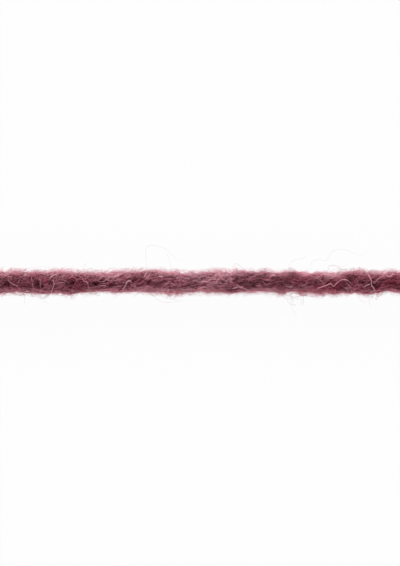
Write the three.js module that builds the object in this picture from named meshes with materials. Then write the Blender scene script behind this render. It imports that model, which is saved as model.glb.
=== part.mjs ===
// A cut length of soft knitting yarn: three wool plies twisted together, lying straight on a surface.
import * as THREE from 'three';

// Sizes are in millimetres. X runs along the strand, Y across it, and Z up from the surface.
const strandLength = 64;
const plyCount = 3;
const plyRadius = 0.98;
const plyOffset = 0.5; // from the strand's centreline to a ply's centre
const centreHeight = 1.25; // less than the crests' radius, so they lie pressed flat underneath
const twistPitch = 12.6; // one full turn of the S twist
const crestAlong = 1.28; // where a ply's crest passes over the top

// Towards each plain cut end the plies let go of each other and spread a little.
const endStretch = 3;
const endSpread = 0.2;

// How uneven the strand is, a row for each thick or thin place.
// along: from the middle. thickness: share of the usual one. aside: how far the strand strays to +Y.
const places = [
  { along: -32.0, thickness: 1.00, aside: 0.03 },
  { along: -27.3, thickness: 0.96, aside: 0.05 },
  { along: -23.2, thickness: 1.02, aside: 0.00 },
  { along: -18.6, thickness: 1.11, aside: -0.09 },
  { along: -13.9, thickness: 0.91, aside: 0.13 },
  { along: -9.6, thickness: 1.03, aside: 0.14 },
  { along: -6.1, thickness: 1.07, aside: 0.14 },
  { along: -1.4, thickness: 0.86, aside: -0.02 },
  { along: 3.8, thickness: 1.02, aside: -0.03 },
  { along: 7.6, thickness: 0.98, aside: 0.07 },
  { along: 12.3, thickness: 0.99, aside: 0.04 },
  { along: 17.1, thickness: 1.02, aside: -0.12 },
  { along: 22.1, thickness: 1.07, aside: -0.03 },
  { along: 25.7, thickness: 0.94, aside: 0.03 },
  { along: 32.0, thickness: 1.00, aside: 0.00 },
];

const ringStep = 0.6;
const pointsPerPly = 8;

const woolColour = new THREE.Color().setRGB(116 / 255, 67 / 255, 77 / 255, THREE.SRGBColorSpace);

// The table's value in a column, eased from one place to the next.
function placeValue(along, column) {
  const after = Math.max(1, places.findIndex((place) => place.along >= along));
  const from = places[after - 1];
  const to = places[after];
  const share = THREE.MathUtils.smoothstep(along, from.along, to.along);
  return THREE.MathUtils.lerp(from[column], to[column], share);
}

// A ply's outline seen from the strand's centreline, at an angle from that ply's crest.
function plyOutline(angle, offset) {
  const across = offset * Math.sin(angle);
  return offset * Math.cos(angle) + Math.sqrt(plyRadius ** 2 - across ** 2);
}

// The strand's radius where the section's own angle is measured from the first ply's crest.
function strandRadius(along, angle) {
  const plyAngle = (2 * Math.PI) / plyCount;
  const fromCrest = angle - plyAngle * Math.round(angle / plyAngle);
  const fromEnd = strandLength / 2 - Math.abs(along);
  const spread = endSpread * (1 - THREE.MathUtils.smoothstep(fromEnd, 0, endStretch));
  return plyOutline(fromCrest, plyOffset + spread) * placeValue(along, 'thickness');
}

// Turns a plain round bar's points into the twisted, uneven strand with its flattened underside.
function strandGeometry() {
  const around = plyCount * pointsPerPly;
  const steps = Math.ceil(strandLength / ringStep);
  const geometry = new THREE.CylinderGeometry(1, 1, strandLength, around, steps);
  geometry.rotateZ(-Math.PI / 2);

  const points = geometry.attributes.position;
  const point = new THREE.Vector3();
  for (let i = 0; i < points.count; i += 1) {
    point.fromBufferAttribute(points, i);
    const along = point.x;
    const angle = Math.atan2(point.y, point.z);
    const twisted = angle + (2 * Math.PI * (along - crestAlong)) / twistPitch;
    const radius = Math.hypot(point.y, point.z) * strandRadius(along, angle);
    const height = centreHeight * placeValue(along, 'thickness') + radius * Math.cos(twisted);
    points.setXYZ(i, along, placeValue(along, 'aside') + radius * Math.sin(twisted), Math.max(0, height));
  }
  geometry.computeVertexNormals();
  return geometry;
}

const woolMaterial = new THREE.MeshStandardMaterial({ color: woolColour, roughness: 1, metalness: 0 });

const strand = new THREE.Mesh(strandGeometry(), woolMaterial);
strand.name = 'yarn_strand';

const yarn = new THREE.Group();
yarn.add(strand);

export default yarn;
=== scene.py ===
"""A cut length of soft heathered knitting yarn: three plies under their own wool fibres."""

import math

import bpy
import numpy as np
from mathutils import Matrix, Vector


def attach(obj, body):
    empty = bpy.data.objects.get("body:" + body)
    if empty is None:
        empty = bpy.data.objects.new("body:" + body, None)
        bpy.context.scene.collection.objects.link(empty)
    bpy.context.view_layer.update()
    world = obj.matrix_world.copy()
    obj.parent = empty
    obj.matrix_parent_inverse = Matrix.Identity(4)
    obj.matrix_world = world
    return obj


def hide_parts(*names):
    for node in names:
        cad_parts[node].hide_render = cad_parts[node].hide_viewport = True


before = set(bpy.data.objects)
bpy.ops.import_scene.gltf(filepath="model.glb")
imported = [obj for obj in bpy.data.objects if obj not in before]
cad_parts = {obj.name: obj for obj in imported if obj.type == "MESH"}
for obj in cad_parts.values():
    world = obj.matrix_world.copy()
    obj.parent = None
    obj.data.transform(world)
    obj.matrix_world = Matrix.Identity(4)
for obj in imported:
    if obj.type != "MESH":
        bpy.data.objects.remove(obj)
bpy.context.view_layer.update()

# Sizes are in millimetres, and MM turns them into the scene's metres. An angle round the strand is measured
# from its top towards +Y. Angles are in radians, unless a comment says degrees.
MM = 0.001
TURN = 2 * math.pi

# The strand, as in the part's source. X runs along it, and Z is up from the surface it lies on.
STRAND_LENGTH = 64.0
HALF_LENGTH = STRAND_LENGTH / 2
STRAND_DIAMETER = 2.8
STRAND_RADIUS = STRAND_DIAMETER / 2
PLY_COUNT = 3
PLY_RADIUS = 0.98
PLY_OFFSET = 0.5
CENTRE_HEIGHT = 1.25
TWIST_PITCH = 12.6
CREST_ALONG = 1.28  # where the first ply's crest is on top
END_STRETCH = 3.0  # the length at each end over which the plies spread
END_SPREAD = 0.2  # how much further out they lie at the cut

# A row for each thick or thin place: along, thickness as a share of the usual one, aside to +Y.
PLACES = (
    (-32.0, 1.00, 0.03),
    (-27.3, 0.96, 0.05),
    (-23.2, 1.02, 0.00),
    (-18.6, 1.11, -0.09),
    (-13.9, 0.91, 0.13),
    (-9.6, 1.03, 0.14),
    (-6.1, 1.07, 0.14),
    (-1.4, 0.86, -0.02),
    (3.8, 1.02, -0.03),
    (7.6, 0.98, 0.07),
    (12.3, 0.99, 0.04),
    (17.1, 1.02, -0.12),
    (22.1, 1.07, -0.03),
    (25.7, 0.94, 0.03),
    (32.0, 1.00, 0.00),
)
THICKNESS = 1  # the number of its thickness column
ASIDE = 2  # the number of its aside column

# The photo's frame in pixels, where the strand crosses it, and the camera that sees the same.
PHOTO_HEIGHT = 566
STRAND_ROW = 282.7
MM_PER_PIXEL = 0.1366
LENS = 100.0
SENSOR = 36.0  # along the picture's longer side
NEAREST_SEEN = 10.0
FURTHEST_SEEN = 10000.0

# Colours of the single fibres, linear, from dark to pale: the cool mauve ones and the warm wine ones.
COOL_STOPS = (
    (0.00, (0.060, 0.009, 0.016)),
    (0.30, (0.215, 0.054, 0.078)),
    (0.60, (0.450, 0.158, 0.212)),
    (1.00, (0.880, 0.500, 0.580)),
)
WARM_STOPS = (
    (0.00, (0.072, 0.004, 0.010)),
    (0.30, (0.240, 0.022, 0.048)),
    (0.60, (0.480, 0.064, 0.125)),
    (1.00, (0.900, 0.380, 0.470)),
)
DARK_ROUGHNESS = 0.72
PALE_ROUGHNESS = 0.5
WOOL_SPECULAR = 0.15
WOOL_SHEEN = 0.1
SHEEN_ROUGHNESS = 0.5
SHEEN_TINT = (1.0, 0.8, 0.85, 1.0)
VALUE_RANGE = (0.02, 0.98)  # the lowest and highest tone and warmth of all fibres but the strays
BAKE_MAP = "OFBake"  # the map that colours can be baked on

# Every fibre is a thin closed tube. The lengths of its waves and tapers are shares of its own length.
FIBRE_SIDES = 3
WAVE_LENGTH_CHANGE = (0.75, 1.4)  # between these shares of the length asked for, each fibre has its own
FIRST_TAPER = 0.15  # at its first end
LAST_TAPER = 0.25  # at its last end
ANY_SIDE = (0.31, 0.52, 0.79)  # a direction that no fibre starts in
TINY_LENGTH = 1e-12  # keeps a division from failing where two points of a path meet
THIN_GAP = 0.02  # how far the core and the fuzz stay above the surface that the strand lies on
THICK_GAP = 0.03  # how far the body's own fibres and the cut ones do

# The plies' dense inner body. Its skin is drawn out in sets of ridges, which cross each other.
CORE_SEED = 11
CORE_SINK = 0.74  # how far its skin lies inside the strand's outline
CORE_STEP = 0.24
CORE_AROUND = 72
CORE_END_GAP = 0.35
RIDGE_SETS = 14
RIDGES_ROUND = (9, 40)  # a set has at least the first number of ridges, and fewer than the second
RIDGE_LEAN = 2.5  # the most that a set's phase moves on for each millimetre along
RIDGE_HEIGHT = 0.035
# The core's low tone is partly the wool's own colour and partly painted shade deep in the wool, where it
# shows between the fibres.
CORE_TONE_AND_SHADE = 0.19
RIDGE_LIGHT_AND_SHADE = 0.06  # painted light and shade: how much paler the crests are, and darker the grooves
CORE_PATCH_SHARE = 0.6  # how much of the heather's patches shows on it
CUT_TONE = 0.1  # at the middle of its two ends
CORE_WARMTH = 0.8

# The body's layers of wool, from the inside out: name, seed, locks, fibres side by side in a lock, rings in
# a fibre, the least and greatest lift, length and radius, and the tone's middle and spread.
# The deeper layers' low tones are partly the wool's own dark fibres and partly painted shade in the gaps
# between the fibres.
BODY_LAYERS = (
    ("inner_fibres", 21, 420, 4, 7, (-0.66, -0.34), (1.8, 4.6), (0.034, 0.052), (0.17, 0.08)),
    ("under_fibres", 25, 300, 4, 7, (-0.50, -0.20), (1.8, 4.2), (0.034, 0.050), (0.21, 0.10)),
    ("middle_fibres", 22, 900, 3, 9, (-0.56, -0.24), (1.8, 4.2), (0.022, 0.042), (0.16, 0.16)),
    ("outer_fibres", 23, 1300, 2, 10, (-0.42, -0.04), (1.4, 3.6), (0.018, 0.036), (0.27, 0.30)),
    ("pale_hairs", 24, 1250, 1, 9, (-0.18, 0.10), (0.9, 2.8), (0.019, 0.030), (0.77, 0.12)),
)

# The locks of a layer. Headings, from the strand's own direction, and curls are in degrees.
LOCK_END_GAP = 1.5
LOCK_HEADING = (6.0, 32.0)  # middle and spread
LOCK_CURL = (10.0, 42.0)  # least and most
LOCK_WAVES = (0.5, 1.2)
LOCK_LIFT_POWER = 1.8  # above 1, more of the locks lie low than high
LOCK_RIPPLE = 0.06
LOCK_WARMTH = (0.45, 0.25)  # middle and spread

# How far the single fibres of a lock depart from it. Their lengths are shares of the lock's.
OWN_ALONG = 0.25
OWN_ROUND = 0.035
OWN_HEADING = 4.0  # degrees
OWN_LENGTH = (0.75, 1.15)
OWN_CURL = 7.0  # degrees
OWN_WAVES = (0.5, 1.0)
OWN_LIFT = 0.03
OWN_TONE = 0.12
OWN_WARMTH = 0.15
BODY_TIP = 0.35  # how thick a fibre is at its tips, as a share
TUCK_SHARE = 0.2  # the stretch at each end of a fibre that dips into the wool
TUCK_DEPTH = 0.12

# Painted light along the strand's two sides, which makes the wool there paler, and how much more its tones
# vary.
UPPER_RIM_PAINTED_LIGHT = 0.30  # painted light: how much paler the +Y side is
LOWER_RIM_PAINTED_LIGHT = 0.90  # painted light: how much paler the other side is
RIM_POWER = 6  # the higher, the closer to the outline the painted light keeps
TOP_MIX = 0.70  # how much of the tones' variation shows along the top
UPPER_SIDE_MIX = 0.46  # how much more of it shows on the +Y side
LOWER_SIDE_MIX = 1.10  # how much more of it shows on the other side

# Fibre ends and loops off the body: name, seed, tufts, spread of a tuft, fibres, rings in a fibre, how far
# they usually and at most stand out, the least and greatest length and radius, and the tone's middle.
# The fuzz's pale tones are partly the fine fibres' own colour and partly painted light, for fibres lit
# through from behind.
FUZZ_LAYERS = (
    ("fine_haze", 30, 1500, 0.20, 9600, 4, (0.36, 0.8), (0.7, 1.6), (0.008, 0.013), 0.92),
    ("close_fuzz", 31, 600, 0.08, 3400, 7, (0.25, 0.7), (0.8, 2.2), (0.011, 0.018), 0.88),
    ("loose_fuzz", 33, 400, 0.20, 1400, 9, (0.32, 0.9), (1.4, 3.2), (0.010, 0.016), 0.82),
    ("long_halo", 41, 30, 0.30, 30, 18, (0.6, 1.3), (2.0, 4.0), (0.008, 0.012), 0.74),
)

# The tufts and their fibres. Headings and curls are in degrees.
FUZZ_END_GAP = 1.0
FUZZ_PAST_END = 0.3
FUZZ_ROOT = -0.14
TUFT_HEADING = (8.0, 28.0)  # middle and spread
TUFT_STAND = (0.3, 1.7)  # how far a tuft stands out, at least and at most, as a share of the usual
FUZZ_HEADING_SPREAD = 20.0
FUZZ_CURL = (8.0, 38.0)  # least and most
FUZZ_WAVES = (0.6, 1.4)
FUZZ_RIPPLE = 0.03
RIPPLE_WAVES = (0.6, 1.2)
LOOP_SHARE = 0.25  # how many of the fibres come back to the body as a loop
RISE_POWER = 1.5  # above 1, the others stay low at first
FUZZ_TIP = 0.5
FUZZ_TONE_SPREAD = 0.15
FUZZ_WARMTH = (0.45, 0.2)  # middle and spread
FUZZ_PATCH_SHARE = 0.5  # how much of the heather's patches shows on it
OFF_SIDE_PAINTED_SHADE = 0.30  # painted shade: how much darker it is over the strand's top than at its sides
OFF_SIDE_COOLER = 0.05  # and how much cooler it is painted there
WARM_DARKER = 0.08  # how much darker it is where the wool is warmer
UPPER_SIDE_MORE = 0.31  # how much further it stands out on the +Y side than on top, and less on the other
UPPER_SIDE_COOLER = 0.30  # painted light: how much cooler it is painted on the +Y side, where the stronger lamp falls, than on top, and warmer on the other
SIDE_PULL = 0.3  # how far the tufts are drawn round from the strand's top and underside to its two sides

# The loose fibres of the two tables below.
STRAY_RINGS = 36
STRAY_LIFT = 0.24  # how far the ones on the body lie over it
STRAY_TUCK = 0.12  # the stretch at each end over which they come down to it
STRAY_SIDES = 5
STRAY_TIP = 0.5
STRAY_LEVEL_SHARE = 0.4  # the stretch over which the ones off the body reach their own height
KNOT_GAP = 0.0001  # how far short of its last knot a path ends
ON_BODY_WARMTH = 0.3
OFF_BODY_TONE = 0.7
OFF_BODY_WARMTH = 0.6

# The fibres that show at the two cuts.
END_SEED = 71
END_FIBRES = 1000
END_RINGS = 6
END_FILL = 0.93  # how much of a ply's radius they fill
END_LENGTH = (1.5, 3.5)
END_RADIUS = (0.016, 0.03)
END_TIP = 0.8
END_FLARE = 0.25  # how much wider they spread at the cut
END_WAVER = 0.3
END_WAVES = (1.0, 2.0)
CUT_SPREAD = 0.1
END_TONE = (0.38, 0.14)  # middle and spread
END_WARMTH = (0.5, 0.2)  # middle and spread

# The plain white surface and the light.
WHITE = (1.0, 1.0, 1.0, 1.0)
FLOOR_HALF = 1500.0
FLOOR_COLOUR = (0.03, 0.03, 0.03, 1.0)
FLOOR_GLOW = 0.965
WORLD_GLOW = 0.23

# Soft lamps: name, place and size in millimetres, power in watts.
LAMPS = (
    ("top_side_lamp", (0.0, 450.0, 110.0), 300.0, 3.9),
    ("near_side_lamp", (0.0, -450.0, 80.0), 300.0, 1.9),
)

# Patches of the heather's shade on the strand: along, angle in degrees, reach along, reach round in degrees,
# how much paler (above 0) or darker the wool is there, and how much warmer or cooler.
SHADE_PATCHES = (
    (-26.5, 50, 1.6, 30, 0.36, 0.0),
    (-26.3, -52, 1.0, 28, 0.18, -0.1),
    (-24.9, -5, 1.9, 45, -0.35, 0.1),
    (-22.9, 54, 0.9, 28, -0.16, 0.0),
    (-21.4, 20, 1.9, 60, -0.13, 0.1),
    (-19.7, -52, 1.0, 28, -0.30, 0.0),
    (-18.0, -52, 1.0, 28, 0.16, 0.0),
    (-18.0, 52, 1.3, 28, 0.30, 0.0),
    (-16.4, -15, 1.5, 60, -0.27, 0.25),
    (-16.3, -54, 0.8, 28, -0.16, 0.0),
    (-14.8, -52, 1.0, 28, -0.18, 0.0),
    (-12.5, 55, 2.5, 28, 0.19, -0.2),
    (-11.3, -5, 0.8, 26, 0.22, 0.0),
    (-9.9, -5, 1.2, 40, -0.12, -0.1),
    (-9.6, 55, 1.2, 28, 0.30, -0.15),
    (-8.3, 0, 1.2, 35, -0.14, 0.2),
    (-8.2, -52, 1.3, 28, 0.42, -0.25),
    (-6.8, 54, 1.1, 26, -0.30, 0.0),
    (-4.2, -52, 2.6, 32, 0.38, -0.2),
    (-4.9, 50, 1.4, 30, 0.16, -0.2),
    (-3.8, -80, 0.8, 25, 0.00, 0.8),
    (-3.2, 52, 1.0, 28, -0.14, -0.1),
    (-1.4, 50, 1.5, 40, 0.27, -0.35),
    (0.2, -52, 1.2, 28, 0.22, 0.0),
    (0.1, 52, 1.0, 28, -0.12, -0.1),
    (1.4, -4, 1.6, 55, 0.30, -0.25),
    (3.3, 55, 1.5, 36, 0.70, -0.45),
    (4.3, -50, 2.0, 30, -0.24, 0.0),
    (5.2, 52, 0.9, 26, -0.34, 0.0),
    (5.7, 5, 1.9, 40, -0.13, -0.2),
    (8.2, -52, 1.4, 28, 0.36, 0.0),
    (9.7, 0, 2.2, 45, -0.23, 0.0),
    (8.1, 52, 1.0, 28, -0.24, 0.0),
    (10.0, 52, 0.9, 28, 0.14, 0.0),
    (12.8, -54, 1.0, 28, -0.14, 0.0),
    (13.0, 50, 1.3, 30, -0.22, 0.0),
    (15.0, 52, 1.2, 28, 0.52, -0.1),
    (15.0, -62, 1.3, 28, 0.46, 0.1),
    (14.4, 0, 2.6, 36, -0.17, 0.2),
    (17.0, -58, 1.3, 30, 0.32, 2.2),
    (18.0, -8, 1.4, 45, -0.24, 0.25),
    (17.8, 52, 1.6, 28, 0.30, -0.25),
    (21.2, 30, 1.8, 50, -0.32, 0.2),
    (19.9, -52, 1.0, 28, 0.16, 0.0),
    (23.8, -44, 2.0, 40, -0.20, 0.1),
    (24.7, 45, 1.0, 34, 0.28, 0.0),
    (26.4, 25, 1.5, 70, -0.28, 0.4),
)

# Puffs and hollows of the wool's outside: along, angle in degrees, reach along, reach round in degrees, and
# how much further out (above 0) or in the wool lies there.
PUFFS = (
    (-27.2, 80, 0.6, 45, 0.35),
    (-22.9, -80, 0.6, 45, -0.12),
    (-21.3, -80, 0.6, 45, 0.13),
    (-21.0, 80, 0.9, 45, -0.28),
    (-19.2, -80, 0.8, 45, -0.30),
    (-18.8, 80, 1.1, 45, 0.24),
    (-16.7, 80, 0.6, 45, -0.10),
    (-16.4, -80, 1.1, 45, 0.12),
    (-16.1, 80, 0.7, 45, -0.22),
    (-12.8, 80, 0.7, 45, -0.30),
    (-11.8, -80, 0.8, 45, 0.20),
    (-8.5, 80, 0.6, 45, -0.16),
    (-6.1, 80, 0.8, 45, 0.26),
    (-6.2, -80, 0.8, 45, -0.14),
    (-4.3, 80, 0.6, 45, -0.26),
    (-5.2, -80, 0.5, 45, -0.10),
    (-3.8, -80, 1.1, 45, 0.58),
    (-2.3, 80, 0.7, 45, 0.12),
    (0.0, -80, 0.5, 45, 0.12),
    (0.6, 85, 2.0, 40, 0.07),
    (2.2, 80, 0.9, 45, 0.38),
    (2.5, -80, 0.8, 45, -0.25),
    (4.2, 80, 0.5, 45, -0.18),
    (4.5, -80, 0.7, 45, 0.20),
    (6.3, 80, 0.8, 45, 0.42),
    (6.9, -80, 0.8, 45, -0.28),
    (7.9, -80, 0.6, 45, -0.12),
    (8.2, 80, 0.5, 45, -0.12),
    (12.8, -80, 0.7, 45, -0.12),
    (14.6, -80, 1.0, 45, -0.15),
    (15.8, 80, 1.8, 45, 0.18),
    (16.6, -80, 0.8, 45, -0.10),
    (19.2, 80, 1.0, 45, 0.06),
    (19.2, -80, 0.8, 45, -0.22),
    (24.8, 80, 0.8, 45, -0.25),
)

# Fuller and barer places of the fuzz: along, angle in degrees, reach along, reach round in degrees, and how
# much further (above 0) or less its fibres stand out there, as a share.
FUZZ_PATCHES = (
    (-25.9, -85, 1.5, 50, 1.00),
    (-23.2, 85, 1.4, 50, 0.55),
    (-23.2, -85, 1.4, 50, 0.60),
    (-15.9, 85, 1.6, 50, 0.65),
    (-16.7, -85, 0.8, 50, 0.30),
    (-15.0, -85, 1.4, 50, -0.30),
    (-11.6, 85, 1.8, 50, -0.35),
    (-9.8, -85, 1.7, 50, -0.50),
    (-8.5, 85, 0.8, 50, 0.60),
    (-6.6, 85, 1.3, 50, -0.60),
    (-6.6, -85, 1.2, 50, 0.25),
    (-4.1, 85, 1.0, 50, -0.15),
    (-4.1, -85, 1.4, 50, 1.35),
    (-1.4, 85, 1.4, 50, 0.70),
    (-1.4, -85, 1.4, 50, 1.25),
    (1.4, -85, 1.2, 50, 0.55),
    (1.6, 85, 1.2, 50, 0.15),
    (4.1, 85, 1.4, 50, 0.95),
    (2.9, -85, 0.7, 50, 0.30),
    (4.4, -85, 1.1, 50, -0.30),
    (7.9, -85, 0.9, 50, 0.45),
    (9.6, 85, 1.3, 50, -0.50),
    (12.3, -85, 1.4, 50, 1.60),
    (12.4, 85, 1.3, 50, -0.25),
    (15.2, 85, 1.6, 50, -0.90),
    (15.0, -85, 1.4, 50, 1.40),
    (18.0, 85, 1.3, 50, -0.75),
    (17.4, -85, 1.5, 50, 0.90),
    (20.6, -85, 1.3, 50, -0.55),
    (20.0, 85, 1.5, 50, 0.40),
    (23.2, -85, 1.2, 50, 0.30),
    (26.0, 85, 1.5, 50, 0.45),
    (26.0, -85, 1.2, 50, -0.25),
)

# Loose fibres that stand out on the strand's upper side: tone, radius, and the points (along, aside).
STRAYS_ON_BODY = {
    "left_slant": (0.83, 0.032, (
        (-26.12, 0.37), (-25.72, 0.03), (-25.31, -0.25), (-24.90, -0.38), (-24.63, -0.66), (-24.37, -1.07),
    )),
    "left_short": (0.68, 0.026, (
        (-24.84, -0.18), (-24.63, 0.10), (-24.44, 0.30),
    )),
    "left_faint": (0.78, 0.033, (
        (-22.88, 0.85), (-22.74, 0.03), (-22.60, -0.66), (-22.40, -1.34),
    )),
    "left_second_faint": (0.78, 0.026, (
        (-21.72, 0.85), (-21.63, -0.11), (-21.68, -0.93),
    )),
    "left_curl": (0.95, 0.044, (
        (-20.49, 0.68), (-20.16, 0.82), (-19.89, 1.01), (-19.55, 1.12), (-19.34, 1.39),
    )),
    "left_upright": (0.98, 0.035, (
        (-19.96, 0.44), (-19.75, -0.11), (-19.89, -0.59), (-20.10, -1.07), (-20.23, -1.48),
    )),
    "left_streak": (0.80, 0.033, (
        (-19.48, -0.11), (-18.94, 0.03), (-18.26, -0.04),
    )),
    "left_loop": (0.86, 0.030, (
        (-15.96, 0.64), (-15.75, 0.23), (-15.34, 0.10), (-15.18, -0.31), (-15.15, -0.66), (-14.74, -0.93),
    )),
    "middle_zigzag": (0.94, 0.032, (
        (-11.78, 0.37), (-11.55, 0.78), (-11.34, 1.12), (-11.21, 0.78), (-11.01, 1.05), (-10.74, 1.19),
    )),
    "middle_hook": (1.00, 0.039, (
        (-10.63, -1.20), (-10.29, -0.66), (-9.99, -0.14), (-9.78, 0.22), (-9.45, 0.23), (-9.18, -0.05),
    )),
    "middle_dash": (0.84, 0.026, (
        (-8.93, -0.55), (-8.70, -0.25),
    )),
    "first_slash": (1.00, 0.041, (
        (-7.58, 0.78), (-7.39, 1.12), (-7.22, 1.39),
    )),
    "second_slash": (0.94, 0.030, (
        (-7.41, 0.44), (-7.08, 0.78), (-6.74, 1.26),
    )),
    "third_slash": (0.90, 0.026, (
        (-7.15, 0.30), (-6.88, 0.67),
    )),
    "middle_upright": (0.70, 0.031, (
        (-2.81, -0.25), (-2.77, 0.44), (-2.67, 0.92), (-2.56, 1.33),
    )),
    "middle_pale": (1.00, 0.041, (
        (-5.66, 0.90), (-5.25, 0.82), (-4.84, 0.87),
    )),
    "slant_stem": (1.00, 0.036, (
        (4.31, -0.86), (4.78, -0.68), (5.26, -0.56),
    )),
    "slant_run": (1.00, 0.036, (
        (4.92, -0.25), (5.46, -0.57), (6.00, -0.79), (6.68, -1.11),
    )),
    "right_pale_slant": (0.66, 0.031, (
        (6.34, 0.37), (6.89, 0.63), (7.42, 0.85),
    )),
    "right_tuft_down": (0.70, 0.028, (
        (9.37, 1.39), (9.59, 0.98), (9.53, 0.52),
    )),
    "right_tuft_across": (0.94, 0.044, (
        (9.61, 0.98), (9.94, 1.07), (10.27, 0.87),
    )),
    "right_short": (0.64, 0.027, (
        (14.27, -0.11), (14.48, 0.16), (14.72, 0.44),
    )),
    "right_swirl": (0.74, 0.027, (
        (15.60, 0.44), (16.04, 0.76), (16.64, 1.07), (17.19, 1.04), (17.67, 0.85),
    )),
    "right_under_swirl": (0.77, 0.030, (
        (15.70, 0.71), (16.24, 0.36), (16.71, 0.08),
    )),
    "right_long_faint": (0.82, 0.033, (
        (17.83, 0.44), (18.07, 0.87), (18.55, 1.26), (19.29, 1.64),
    )),
    "right_wave": (0.97, 0.035, (
        (15.74, -1.12), (16.04, -0.79), (16.45, -0.59), (17.12, -0.38), (17.67, -0.08), (17.96, -0.46),
        (18.20, -0.44), (18.50, -0.08), (19.02, 0.31), (19.42, 0.45), (19.83, 0.38), (20.24, 0.16),
        (20.54, -0.22),
    )),
    "right_under_arc": (0.76, 0.029, (
        (19.70, 0.10), (20.18, -0.31), (20.41, -0.79), (20.64, -1.20),
    )),
    "right_upright": (1.00, 0.039, (
        (22.74, 1.42), (22.96, 0.85), (23.22, 0.30), (23.25, -0.41), (23.49, -0.66), (23.71, -1.01),
        (23.85, -1.39),
    )),
    "right_branch": (1.00, 0.037, (
        (22.19, -0.57), (22.68, -0.33), (23.15, -0.11),
    )),
    "right_far_hook": (1.00, 0.044, (
        (25.26, 1.09), (25.67, 0.87), (26.00, 0.98), (26.26, 1.26),
    )),
}

# Loose fibres that stand off the strand: radius, height over the surface, and the points (along, aside).
STRAYS_OFF_BODY = {
    "arch": (0.0084, 1.3, (
        (-7.72, 1.39), (-7.31, 2.21), (-7.43, 3.58), (-7.35, 4.67), (-6.97, 5.03), (-6.42, 5.08),
        (-5.46, 4.94), (-4.37, 4.40), (-3.42, 3.44), (-2.60, 2.90),
    )),
    "arch_curl": (0.0072, 1.0, (
        (-3.89, 1.53), (-4.02, 2.49), (-4.23, 3.31), (-4.51, 3.85), (-4.92, 4.13),
    )),
    "left_hook": (0.0130, 1.2, (
        (-15.90, 1.26), (-15.87, 1.87), (-15.82, 2.35), (-15.44, 2.62),
    )),
    "left_flat": (0.0078, 1.2, (
        (-24.59, 1.39), (-23.63, 1.94), (-22.40, 2.13), (-20.90, 2.16), (-19.53, 1.86), (-18.71, 1.39),
    )),
    "right_reach": (0.0078, 1.3, (
        (11.88, 1.39), (12.16, 1.94), (12.43, 2.83), (13.25, 3.17), (14.34, 3.44), (14.96, 4.13),
    )),
    "right_long_reach": (0.0078, 1.2, (
        (14.96, 1.26), (15.11, 2.35), (15.57, 3.01), (16.39, 3.11), (17.21, 3.03), (17.55, 3.58),
        (18.17, 4.33), (18.99, 4.56), (19.81, 4.54), (20.76, 4.13), (21.86, 3.72), (22.74, 3.99),
    )),
    "right_crest": (0.0091, 1.2, (
        (17.35, 1.53), (17.76, 2.27), (18.58, 2.27), (19.12, 1.94), (19.74, 2.35), (20.22, 2.54),
    )),
    "right_crest_dash": (0.0120, 1.2, (
        (17.50, 2.32), (18.20, 2.38), (18.80, 2.28), (19.40, 2.10),
    )),
    "lower_left_drop": (0.0095, 0.6, (
        (-24.10, -1.20), (-24.01, -2.02), (-24.04, -3.18),
    )),
    "lower_left_curl": (0.0130, 0.7, (
        (-22.81, -1.20), (-22.40, -1.75), (-21.99, -2.05), (-21.31, -2.19), (-20.76, -1.99),
    )),
    "lower_left_dash": (0.0065, 0.4, (
        (-22.13, -1.34), (-21.79, -2.23), (-21.38, -2.60), (-20.76, -2.70),
    )),
    "lower_middle_sweep": (0.0084, 0.6, (
        (-6.83, -1.20), (-5.87, -2.29), (-4.78, -2.70), (-3.55, -2.65), (-2.19, -2.43),
    )),
    "lower_middle_second": (0.0078, 0.7, (
        (-5.46, -1.34), (-4.78, -2.02), (-3.69, -2.29), (-2.60, -2.49),
    )),
    "lower_right_sweep": (0.0091, 0.6, (
        (10.93, -1.20), (11.54, -2.02), (12.43, -2.35), (13.25, -2.29), (14.07, -2.16),
    )),
    "lower_right_second": (0.0084, 0.5, (
        (11.75, -1.34), (12.02, -2.50), (12.43, -2.98), (13.25, -3.03),
    )),
    "lower_right_long": (0.0072, 0.4, (
        (12.70, -1.34), (12.38, -2.57), (12.57, -3.52), (13.03, -4.21), (13.25, -4.89),
    )),
    "lower_right_drop": (0.0078, 0.5, (
        (13.61, -1.20), (13.80, -2.29), (14.12, -3.39),
    )),
    "lower_tangle_across": (0.0150, 0.7, (
        (11.90, -1.50), (12.30, -1.84), (12.90, -1.98), (13.50, -1.86), (14.10, -1.82), (14.50, -1.60),
    )),
    "lower_tangle_back": (0.0130, 0.7, (
        (13.90, -1.40), (13.60, -1.80), (13.20, -2.10), (12.80, -1.92), (12.40, -2.12), (12.00, -2.00),
    )),
    "lower_tangle_down": (0.0140, 0.8, (
        (12.10, -1.30), (12.40, -1.76), (12.72, -2.26), (12.60, -2.74), (12.90, -3.12), (13.10, -2.90),
    )),
    "lower_tangle_drop": (0.0120, 0.7, (
        (14.00, -1.50), (14.12, -2.10), (14.16, -2.70), (14.02, -3.00),
    )),
    "lower_right_hook": (0.0084, 0.7, (
        (15.24, -1.07), (15.44, -1.94), (15.85, -2.35), (16.26, -2.02),
    )),
    "lower_far_tuft": (0.0200, 0.8, (
        (24.04, -1.07), (24.23, -1.80), (24.18, -2.29), (23.91, -2.02),
    )),
    "lower_far_drop": (0.0072, 0.5, (
        (23.09, -1.20), (23.17, -2.29), (23.36, -3.44),
    )),
    "lower_far_flat": (0.0072, 0.5, (
        (21.45, -1.20), (21.99, -2.38), (22.54, -2.68), (23.09, -2.62),
    )),
    "upper_left_short": (0.0072, 1.1, (
        (-27.25, 1.46), (-26.98, 2.10), (-26.50, 2.21),
    )),
}


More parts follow.
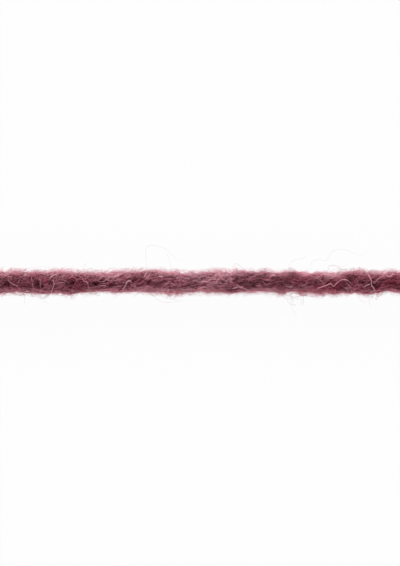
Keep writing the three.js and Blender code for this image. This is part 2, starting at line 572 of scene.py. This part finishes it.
def make_camera():
    """Looks straight down on the strand, with the picture's top towards +Y."""
    data = bpy.data.cameras.new("photo_camera")
    data.lens = LENS
    data.sensor_width = SENSOR
    data.clip_start = NEAREST_SEEN * MM
    data.clip_end = FURTHEST_SEEN * MM
    camera = bpy.data.objects.new("photo_camera", data)
    view_height = PHOTO_HEIGHT * MM_PER_PIXEL
    distance = view_height * LENS / SENSOR
    centre_row = PHOTO_HEIGHT / 2
    shift = (STRAND_ROW - centre_row) * MM_PER_PIXEL
    camera.location = (0.0, shift * MM, (CENTRE_HEIGHT + distance) * MM)
    bpy.context.scene.collection.objects.link(camera)
    bpy.context.scene.camera = camera


def smooth_share(value, low, high):
    """0 below low, 1 above high and an eased step between them."""
    share = np.clip((value - low) / (high - low), 0.0, 1.0)
    return share * share * (3.0 - 2.0 * share)


def eased_ends(share, first, last):
    """1 along a fibre, eased to 0 at its two ends over stretches of these shares."""
    return np.minimum(smooth_share(share, 0.0, first), smooth_share(1.0 - share, 0.0, last))


def place_value(along, column):
    """The PLACES table's column, eased from one row to the next."""
    table = np.array(PLACES)
    starts = table[:, 0]
    after = np.clip(np.searchsorted(starts, along), 1, len(starts) - 1)
    share = smooth_share(along, starts[after - 1], starts[after])
    return table[after - 1, column] * (1.0 - share) + table[after, column] * share


def body_radius(along, angle):
    """The body's radius round its centreline, at an angle from the top."""
    ply_angle = TURN / PLY_COUNT
    from_first = angle - TURN * (along - CREST_ALONG) / TWIST_PITCH
    from_crest = from_first - ply_angle * np.round(from_first / ply_angle)
    from_end = HALF_LENGTH - np.abs(along)
    offset = PLY_OFFSET + END_SPREAD * (1.0 - smooth_share(from_end, 0.0, END_STRETCH))
    across = offset * np.sin(from_crest)
    outline = offset * np.cos(from_crest) + np.sqrt(PLY_RADIUS**2 - across**2)
    return outline * place_value(along, THICKNESS)


def on_strand(along, angle, lift, floor_gap):
    """Points at an angle round the strand and a lift over its body, kept above the surface it lies on."""
    radius = body_radius(along, angle) + lift
    aside = place_value(along, ASIDE) + radius * np.sin(angle)
    height = CENTRE_HEIGHT * place_value(along, THICKNESS) + radius * np.cos(angle)
    return np.stack([along, aside, np.maximum(height, floor_gap)], axis=-1)


def sum_patches(along, angle, patches):
    """The patches' values at places on the strand, each faded out round the patch's middle."""
    total = 0.0
    for middle, turned, reach_along, reach_round, *values in patches:
        away = (angle - math.radians(turned) + math.pi) % TURN - math.pi
        far = ((along - middle) / reach_along) ** 2 + (away / math.radians(reach_round)) ** 2
        total = total + np.multiply.outer(values, np.exp(-far))
    return total


def waves(rng, count, share, lengths):
    """A smooth random wave along each of count fibres, with a spread of about 1.

    The share runs from 0 to 1 along a fibre, and lengths are the wave lengths as shares of it.
    """
    total = np.zeros((count, share.shape[-1]))
    for length in lengths:
        phase = rng.uniform(0.0, TURN, (count, 1))
        wave_length = length * rng.uniform(*WAVE_LENGTH_CHANGE, (count, 1))
        total += np.sin(TURN * share / wave_length + phase)
    return total * math.sqrt(2.0 / len(lengths))


def make_mesh(name, points, faces, attributes, sheet_map):
    """A smooth mesh object from points in millimetres, groups of faces and values for each point."""
    mesh = bpy.data.meshes.new(name)
    corners = np.concatenate([group.ravel() for group in faces])
    sizes = np.concatenate([np.full(len(group), group.shape[1]) for group in faces])
    starts = np.concatenate([[0], np.cumsum(sizes)[:-1]])
    mesh.vertices.add(len(points))
    mesh.vertices.foreach_set("co", (points * MM).astype(np.float32).ravel())
    mesh.loops.add(len(corners))
    mesh.loops.foreach_set("vertex_index", corners.astype(np.int32))
    mesh.polygons.add(len(sizes))
    mesh.polygons.foreach_set("loop_start", starts.astype(np.int32))
    mesh.update(calc_edges=True)
    mesh.polygons.foreach_set("use_smooth", np.full(len(sizes), True))
    for key, values in attributes.items():
        layer = mesh.attributes.new(key, "FLOAT", "POINT")
        layer.data.foreach_set("value", values.astype(np.float32).ravel())
    layer = mesh.uv_layers.new(name=BAKE_MAP)
    layer.data.foreach_set("uv", sheet_map[corners].astype(np.float32).ravel())
    mesh.validate()
    piece = bpy.data.objects.new(name, mesh)
    bpy.context.scene.collection.objects.link(piece)
    return piece


def tube_rings(paths, radii, sides):
    """Rings of points round each path, turned without twist from one ring to the next."""
    forward = np.gradient(paths, axis=1)
    forward /= np.linalg.norm(forward, axis=-1, keepdims=True) + TINY_LENGTH
    side = np.zeros_like(paths)
    start = np.cross(forward[:, 0], ANY_SIDE)
    side[:, 0] = start / np.linalg.norm(start, axis=-1, keepdims=True)
    for ring in range(1, paths.shape[1]):
        turned = side[:, ring - 1]
        ahead = forward[:, ring]
        turned = turned - (turned * ahead).sum(-1, keepdims=True) * ahead
        side[:, ring] = turned / np.linalg.norm(turned, axis=-1, keepdims=True)
    over = np.cross(forward, side)
    rings = []
    for corner in range(sides):
        angle = TURN * corner / sides
        rings.append(paths + radii[..., None] * (math.cos(angle) * side + math.sin(angle) * over))
    return np.stack(rings, axis=2)


def fibre_mesh(name, paths, radii, tone, warmth, sides=FIBRE_SIDES):
    """One mesh of closed thin tubes, one for each path."""
    count, rings = paths.shape[:2]
    points = tube_rings(paths, radii, sides).reshape(-1, 3)
    first = (np.arange(count)[:, None] * rings + np.arange(rings - 1)[None, :]).ravel() * sides
    walls = []
    for corner in range(sides):
        following = (corner + 1) % sides
        walls.append(np.stack([
            first + corner, first + following, first + sides + following, first + sides + corner,
        ], axis=1))
    start_ring = np.arange(count)[:, None] * rings * sides
    start_caps = start_ring + np.arange(sides)[::-1][None, :]
    end_caps = start_ring + (rings - 1) * sides + np.arange(sides)[None, :]
    faces = [np.concatenate(walls), np.concatenate([start_caps, end_caps])]
    values = {
        "tone": np.repeat(np.broadcast_to(tone, (count, rings)).ravel(), sides),
        "warmth": np.repeat(np.broadcast_to(warmth, (count, rings)).ravel(), sides),
    }
    sheet_map = np.stack([values["tone"], values["warmth"]], axis=1).clip(0.0, 1.0)
    return make_mesh(name, points, faces, values, sheet_map)


def taper(count, rings, radius, tip):
    """Radii along each fibre, drawn in to the share tip over its last stretch at both ends."""
    profile = tip + (1.0 - tip) * eased_ends(np.linspace(0.0, 1.0, rings), FIRST_TAPER, LAST_TAPER)
    return radius.reshape(count, 1) * profile[None, :]


def wool_colours(nodes, links):
    """The heathered wool's tone, and its colour from the tone and warmth of the fibre."""
    tone = nodes.new("ShaderNodeAttribute")
    tone.attribute_name = "tone"
    warmth = nodes.new("ShaderNodeAttribute")
    warmth.attribute_name = "warmth"
    ramps = []
    for stops in (COOL_STOPS, WARM_STOPS):
        ramp = nodes.new("ShaderNodeValToRGB")
        elements = ramp.color_ramp.elements
        for place, _ in stops[1:-1]:
            elements.new(place)
        for element, (place, colour) in zip(elements, stops):
            element.position = place
            element.color = (*colour, 1.0)
        links.new(tone.outputs["Fac"], ramp.inputs["Fac"])
        ramps.append(ramp)
    mix = nodes.new("ShaderNodeMix")
    mix.data_type = "RGBA"
    links.new(warmth.outputs["Fac"], mix.inputs["Factor"])
    links.new(ramps[0].outputs["Color"], mix.inputs["A"])
    links.new(ramps[1].outputs["Color"], mix.inputs["B"])
    return tone.outputs["Fac"], mix.outputs["Result"]


def wool_material(name):
    """Soft matt wool, with a faint bloom where it is seen edge on."""
    material = bpy.data.materials.new(name)
    material.use_nodes = True
    nodes = material.node_tree.nodes
    links = material.node_tree.links
    shader = nodes["Principled BSDF"]
    tone, colour = wool_colours(nodes, links)
    links.new(colour, shader.inputs["Base Color"])
    rough = nodes.new("ShaderNodeMapRange")
    rough.inputs["To Min"].default_value = DARK_ROUGHNESS
    rough.inputs["To Max"].default_value = PALE_ROUGHNESS
    links.new(tone, rough.inputs["Value"])
    links.new(rough.outputs["Result"], shader.inputs["Roughness"])
    shader.inputs["Specular IOR Level"].default_value = WOOL_SPECULAR
    shader.inputs["Sheen Weight"].default_value = WOOL_SHEEN
    shader.inputs["Sheen Roughness"].default_value = SHEEN_ROUGHNESS
    shader.inputs["Sheen Tint"].default_value = SHEEN_TINT
    return material


def dress(piece, material):
    """Puts a piece on the part's body, with the wool's finish."""
    piece.data.materials.append(material)
    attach(piece, "root")
    return piece


def core_faces(rings):
    """The core's walls, and the fans that close its ends on the last two points."""
    column = np.arange(CORE_AROUND)
    following = (column + 1) % CORE_AROUND
    first = np.arange(rings - 1)[:, None] * CORE_AROUND
    last = (rings - 1) * CORE_AROUND
    walls = np.stack([
        first + following, first + CORE_AROUND + following, first + CORE_AROUND + column, first + column,
    ], axis=-1).reshape(-1, 4)
    left_hub = np.full(CORE_AROUND, rings * CORE_AROUND)
    right_hub = left_hub + 1
    left_cap = np.stack([following, column, left_hub], axis=1)
    right_cap = np.stack([last + column, last + following, right_hub], axis=1)
    return [walls, np.concatenate([left_cap, right_cap])]


def make_core(material):
    """The three plies' dense inner body, its surface drawn out in ridges like packed fibres."""
    rng = np.random.default_rng(CORE_SEED)
    rings = int(STRAND_LENGTH / CORE_STEP)
    reach = HALF_LENGTH - CORE_END_GAP
    along = np.repeat(np.linspace(-reach, reach, rings)[:, None], CORE_AROUND, axis=1)
    in_ply = np.linspace(0.0, TURN, CORE_AROUND, endpoint=False)[None, :]
    angle = in_ply + TURN * (along - CREST_ALONG) / TWIST_PITCH
    ridges = np.zeros_like(along)
    for _ in range(RIDGE_SETS):
        around = rng.integers(*RIDGES_ROUND)
        lean = rng.uniform(-RIDGE_LEAN, RIDGE_LEAN)
        phase = rng.uniform(0.0, TURN)
        ridges += np.sin(around * in_ply + lean * along + phase)
    ridges = ridges / ridges.std()
    points = on_strand(along, angle, ridges * RIDGE_HEIGHT - CORE_SINK, THIN_GAP)
    hubs = points[[0, -1]].mean(axis=1)
    paler, _ = sum_patches(along, angle, SHADE_PATCHES)
    # Painted shade in the ridges' grooves and painted light on their crests.
    tone = CORE_TONE_AND_SHADE + RIDGE_LIGHT_AND_SHADE * np.tanh(ridges) + CORE_PATCH_SHARE * paler
    tone = np.append(tone.ravel(), (CUT_TONE, CUT_TONE))
    values = {"tone": tone, "warmth": np.full(tone.shape, CORE_WARMTH)}
    share = np.repeat(np.linspace(0.0, 1.0, rings), CORE_AROUND)
    across = np.tile(np.arange(CORE_AROUND) / CORE_AROUND, rings)
    sheet_map = np.stack([np.append(share, (0.0, 1.0)), np.append(across, (0.5, 0.5))], axis=1)
    all_points = np.concatenate([points.reshape(-1, 3), hubs])
    core = make_mesh("yarn_plies", all_points, core_faces(rings), values, sheet_map)
    return dress(core, material)


def surface_paths(along, angle, heading, length, bend):
    """Paths that wander over the strand from the starts given. Returns their alongs and angles."""
    rings = bend.shape[1]
    course = heading[:, None] + bend
    step = (length / (rings - 1))[:, None]
    ahead = np.cumsum(np.cos(course) * step, axis=1)
    sideways = np.cumsum(np.sin(course) * step, axis=1)
    middle = rings // 2
    ahead -= ahead[:, middle:middle + 1]
    sideways -= sideways[:, middle:middle + 1]
    return along[:, None] + ahead, angle[:, None] + sideways / STRAND_RADIUS


def make_body_fibres(material, layer):
    """Locks of wool laid over the plies, crossing each other at all angles."""
    name, seed, locks, lock_size, rings, lifts, lengths, radii, (tone_middle, tone_spread) = layer
    rng = np.random.default_rng(seed)
    count = locks * lock_size
    lock = np.repeat(np.arange(locks), lock_size)
    share = np.linspace(0.0, 1.0, rings)[None, :]

    lock_along = rng.uniform(-HALF_LENGTH + LOCK_END_GAP, HALF_LENGTH - LOCK_END_GAP, locks)
    lock_angle = rng.uniform(-math.pi, math.pi, locks)
    lock_heading = np.radians(rng.normal(*LOCK_HEADING, locks))
    lock_length = rng.uniform(*lengths, locks)
    lock_curl = np.radians(rng.uniform(*LOCK_CURL, locks))
    lock_bend = lock_curl[:, None] * waves(rng, locks, share, LOCK_WAVES)
    lock_lift = lifts[0] + (lifts[1] - lifts[0]) * rng.random(locks) ** LOCK_LIFT_POWER
    lock_tone = rng.normal(tone_middle, tone_spread, locks)
    lock_warmth = rng.normal(*LOCK_WARMTH, locks)

    along = lock_along[lock] + rng.normal(0.0, OWN_ALONG, count)
    angle = lock_angle[lock] + rng.normal(0.0, OWN_ROUND, count)
    heading = lock_heading[lock] + rng.normal(0.0, math.radians(OWN_HEADING), count)
    length = lock_length[lock] * rng.uniform(*OWN_LENGTH, count)
    bend = lock_bend[lock] + math.radians(OWN_CURL) * waves(rng, count, share, OWN_WAVES)
    along, angle = surface_paths(along, angle, heading, length, bend)
    along = np.clip(along, -HALF_LENGTH, HALF_LENGTH)
    lift = (lock_lift[lock] + rng.normal(0.0, OWN_LIFT, count))[:, None]
    lift = lift + LOCK_RIPPLE * waves(rng, locks, share, OWN_WAVES)[lock]
    lift = lift - TUCK_DEPTH * (1.0 - eased_ends(share, TUCK_SHARE, TUCK_SHARE))
    lift = lift + sum_patches(along, angle, PUFFS)[0]
    radius = rng.uniform(*radii, count)
    paths = on_strand(along, angle, lift, THICK_GAP)

    upper = np.sin(angle) > 0
    paler, warmer = sum_patches(along, angle, SHADE_PATCHES)
    # Painted light: the wool is painted paler towards the outline on both sides, as if lit there.
    rim_painted_light = np.where(upper, UPPER_RIM_PAINTED_LIGHT, LOWER_RIM_PAINTED_LIGHT) * np.sin(angle) ** RIM_POWER
    own_tone = (lock_tone[lock] - tone_middle + rng.normal(0.0, OWN_TONE, count))[:, None]
    mix = TOP_MIX + np.where(upper, UPPER_SIDE_MIX, LOWER_SIDE_MIX) * np.sin(angle) ** 2
    tone = tone_middle + own_tone * mix + paler + rim_painted_light
    warmth = (lock_warmth[lock] + rng.normal(0.0, OWN_WARMTH, count))[:, None] + warmer
    radii = taper(count, rings, radius, BODY_TIP)
    piece = fibre_mesh(name, paths, radii, tone.clip(*VALUE_RANGE), warmth.clip(*VALUE_RANGE))
    return dress(piece, material)


def make_fuzz(material, layer):
    """Fibre ends and loops that stand off the body all round it."""
    name, seed, tufts, spread, count, rings, (usual, furthest), lengths, radii, tone_middle = layer
    rng = np.random.default_rng(seed)
    share = np.linspace(0.0, 1.0, rings)[None, :]

    tuft = rng.integers(0, tufts, count)
    tuft_along = rng.uniform(-HALF_LENGTH + FUZZ_END_GAP, HALF_LENGTH - FUZZ_END_GAP, tufts)
    tuft_angle = rng.uniform(-math.pi, math.pi, tufts)
    tuft_angle = tuft_angle + SIDE_PULL * np.sin(2.0 * tuft_angle)
    tuft_heading = np.radians(rng.normal(*TUFT_HEADING, tufts)) + math.pi * rng.integers(0, 2, tufts)
    tuft_stand = rng.uniform(*TUFT_STAND, tufts) * (1.0 + UPPER_SIDE_MORE * np.sin(tuft_angle))
    tuft_stand = tuft_stand * (1.0 + sum_patches(tuft_along, tuft_angle, FUZZ_PATCHES)[0])

    along = tuft_along[tuft] + rng.normal(0.0, spread, count)
    angle = tuft_angle[tuft] + rng.normal(0.0, spread, count) / STRAND_RADIUS
    heading = tuft_heading[tuft] + np.radians(rng.normal(0.0, FUZZ_HEADING_SPREAD, count))
    length = rng.uniform(*lengths, count)
    curl = np.radians(rng.uniform(*FUZZ_CURL, count))
    bend = curl[:, None] * waves(rng, count, share, FUZZ_WAVES)
    along, angle = surface_paths(along, angle, heading, length, bend)
    along = np.clip(along, -HALF_LENGTH - FUZZ_PAST_END, HALF_LENGTH + FUZZ_PAST_END)
    stands = np.minimum(rng.exponential(usual * tuft_stand[tuft]), furthest)[:, None]
    loop = (rng.random(count) < LOOP_SHARE)[:, None]
    rise = np.where(loop, np.sin(math.pi * share), share ** RISE_POWER)
    lift = FUZZ_ROOT + stands * rise + FUZZ_RIPPLE * waves(rng, count, share, RIPPLE_WAVES)
    lift = lift + sum_patches(along, angle, PUFFS)[0]
    radius = rng.uniform(*radii, count)
    paths = on_strand(along, angle, lift, THIN_GAP)

    # Painted light and shade: the fuzz is painted darker and cooler over the strand's top and underside, and
    # so paler and pinker at its sides.
    off_side = np.cos(angle) ** 2
    paler, warmer = sum_patches(along, angle, SHADE_PATCHES)
    tone = rng.normal(tone_middle, FUZZ_TONE_SPREAD, count)[:, None]
    tone = tone + FUZZ_PATCH_SHARE * paler - OFF_SIDE_PAINTED_SHADE * off_side - WARM_DARKER * warmer
    warmth = rng.normal(*FUZZ_WARMTH, count)[:, None] + warmer - OFF_SIDE_COOLER * off_side
    # Painted light: cooler on the +Y side, where the stronger lamp falls, and warmer on the other.
    warmth = warmth - UPPER_SIDE_COOLER * np.sin(angle)
    radii = taper(count, rings, radius, FUZZ_TIP)
    piece = fibre_mesh(name, paths, radii, tone.clip(*VALUE_RANGE), warmth.clip(*VALUE_RANGE))
    return dress(piece, material)


def smooth_route(points):
    """A smooth path of evenly shared points through the ones given. Returns its alongs and asides."""
    knots = np.array(points)
    padded = np.concatenate([2 * knots[:1] - knots[1:2], knots, 2 * knots[-1:] - knots[-2:-1]])
    where = np.linspace(0.0, len(knots) - (1 + KNOT_GAP), STRAY_RINGS)
    base = where.astype(int)
    t = (where - base)[:, None]
    before, start, end, after = (padded[base + shift] for shift in range(4))
    path = 0.5 * (
        2 * start + (end - before) * t + (2 * before - 5 * start + 4 * end - after) * t**2
        + (3 * start - before - 3 * end + after) * t**3)
    return path.T


def make_strays_on_body(material):
    """The pale loose fibres that lie across the strand's upper side."""
    tones, radii, routes = zip(*STRAYS_ON_BODY.values())
    ends = eased_ends(np.linspace(0.0, 1.0, STRAY_RINGS), STRAY_TUCK, STRAY_TUCK)
    paths = []
    for points in routes:
        along, aside = smooth_route(points)
        thickness = place_value(along, THICKNESS)
        reach = STRAND_RADIUS * thickness + STRAY_LIFT * ends
        rise = np.sqrt(np.clip(reach**2 - (aside - place_value(along, ASIDE)) ** 2, 0.0, None))
        paths.append(np.stack([along, aside, CENTRE_HEIGHT * thickness + rise], axis=-1))
    radii = taper(len(paths), STRAY_RINGS, np.array(radii), STRAY_TIP)
    tone = np.array(tones)[:, None]
    piece = fibre_mesh("strays_on_body", np.array(paths), radii, tone, ON_BODY_WARMTH, STRAY_SIDES)
    return dress(piece, material)


def make_strays_off_body(material):
    """The thin loose fibres that stand off the strand on both sides."""
    radii, heights, routes = zip(*STRAYS_OFF_BODY.values())
    from_root = smooth_share(np.linspace(0.0, 1.0, STRAY_RINGS), 0.0, STRAY_LEVEL_SHARE)
    paths = []
    for height, points in zip(heights, routes):
        along, aside = smooth_route(points)
        level = CENTRE_HEIGHT + (height - CENTRE_HEIGHT) * from_root
        paths.append(np.stack([along, aside, level], axis=-1))
    radii = taper(len(paths), STRAY_RINGS, np.array(radii), STRAY_TIP)
    piece = fibre_mesh("strays_off_body", np.array(paths), radii, OFF_BODY_TONE, OFF_BODY_WARMTH)
    return dress(piece, material)


def make_end_fibres(material):
    """Fibres of the plies' own thickness, cut off plainly at both ends."""
    rng = np.random.default_rng(END_SEED)
    side = np.where(np.arange(END_FIBRES) % 2 == 0, 1.0, -1.0)
    ply = rng.integers(0, PLY_COUNT, END_FIBRES)
    radius_share = np.sqrt(rng.random(END_FIBRES)) * END_FILL
    turned = rng.uniform(0.0, TURN, END_FIBRES)
    length = rng.uniform(*END_LENGTH, END_FIBRES)
    end = HALF_LENGTH + rng.normal(0.0, CUT_SPREAD, END_FIBRES)
    from_cut = np.linspace(1.0, 0.0, END_RINGS)[None, :]
    along = side[:, None] * (end[:, None] - length[:, None] * from_cut)
    twist = TURN * (along - CREST_ALONG) / TWIST_PITCH + TURN * ply[:, None] / PLY_COUNT
    thickness = place_value(along, THICKNESS)
    offset = (PLY_OFFSET + END_SPREAD) * thickness
    spread = PLY_RADIUS * radius_share[:, None] * thickness
    spread = spread * (1.0 + END_FLARE * (1.0 - from_cut))
    own = turned[:, None] + END_WAVER * waves(rng, END_FIBRES, from_cut, END_WAVES)
    aside = place_value(along, ASIDE) + offset * np.sin(twist) + spread * np.sin(own)
    height = CENTRE_HEIGHT * thickness + offset * np.cos(twist) + spread * np.cos(own)
    paths = np.stack([along, aside, np.maximum(height, THICK_GAP)], axis=-1)
    tone = rng.normal(*END_TONE, END_FIBRES)[:, None]
    warmth = rng.normal(*END_WARMTH, END_FIBRES)[:, None]
    radii = taper(END_FIBRES, END_RINGS, rng.uniform(*END_RADIUS, END_FIBRES), END_TIP)
    piece = fibre_mesh(
        "cut_end_fibres", paths, radii, tone.clip(*VALUE_RANGE), warmth.clip(*VALUE_RANGE))
    return dress(piece, material)


def make_surface():
    """The plain white surface that the strand lies on. It glows evenly, so it stays white."""
    corners = np.array([(-1, -1, 0), (1, -1, 0), (1, 1, 0), (-1, 1, 0)]) * FLOOR_HALF
    mesh = bpy.data.meshes.new("surface")
    mesh.from_pydata((corners * MM).tolist(), [], [(0, 1, 2, 3)])
    surface = bpy.data.objects.new("surface", mesh)
    bpy.context.scene.collection.objects.link(surface)
    material = bpy.data.materials.new("white_surface")
    material.use_nodes = True
    shader = material.node_tree.nodes["Principled BSDF"]
    shader.inputs["Base Color"].default_value = FLOOR_COLOUR
    shader.inputs["Roughness"].default_value = 1.0
    shader.inputs["Specular IOR Level"].default_value = 0.0
    shader.inputs["Emission Color"].default_value = WHITE
    shader.inputs["Emission Strength"].default_value = FLOOR_GLOW
    mesh.materials.append(material)


def make_light():
    """Weak white light from all round and soft lamps on both sides, which the camera doesn't see."""
    world = bpy.data.worlds.new("even_white")
    world.use_nodes = True
    background = world.node_tree.nodes["Background"]
    background.inputs["Color"].default_value = WHITE
    background.inputs["Strength"].default_value = WORLD_GLOW
    bpy.context.scene.world = world
    for name, place, size, power in LAMPS:
        light = bpy.data.lights.new(name, "AREA")
        light.shape = "DISK"
        light.size = size * MM
        light.energy = power
        lamp = bpy.data.objects.new(name, light)
        lamp.location = Vector(place) * MM
        lamp.rotation_mode = "QUATERNION"
        lamp.rotation_quaternion = (-lamp.location).to_track_quat("-Z", "Y")
        lamp.visible_camera = False
        bpy.context.scene.collection.objects.link(lamp)
    bpy.context.scene.view_settings.view_transform = "Standard"


make_camera()
wool = wool_material("heathered_wool")
core = make_core(wool)
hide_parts("yarn_strand")
fibres = [
    *(make_body_fibres(wool, layer) for layer in BODY_LAYERS),
    *(make_fuzz(wool, layer) for layer in FUZZ_LAYERS),
    make_strays_on_body(wool),
    make_strays_off_body(wool),
    make_end_fibres(wool),
]
make_surface()
make_light()
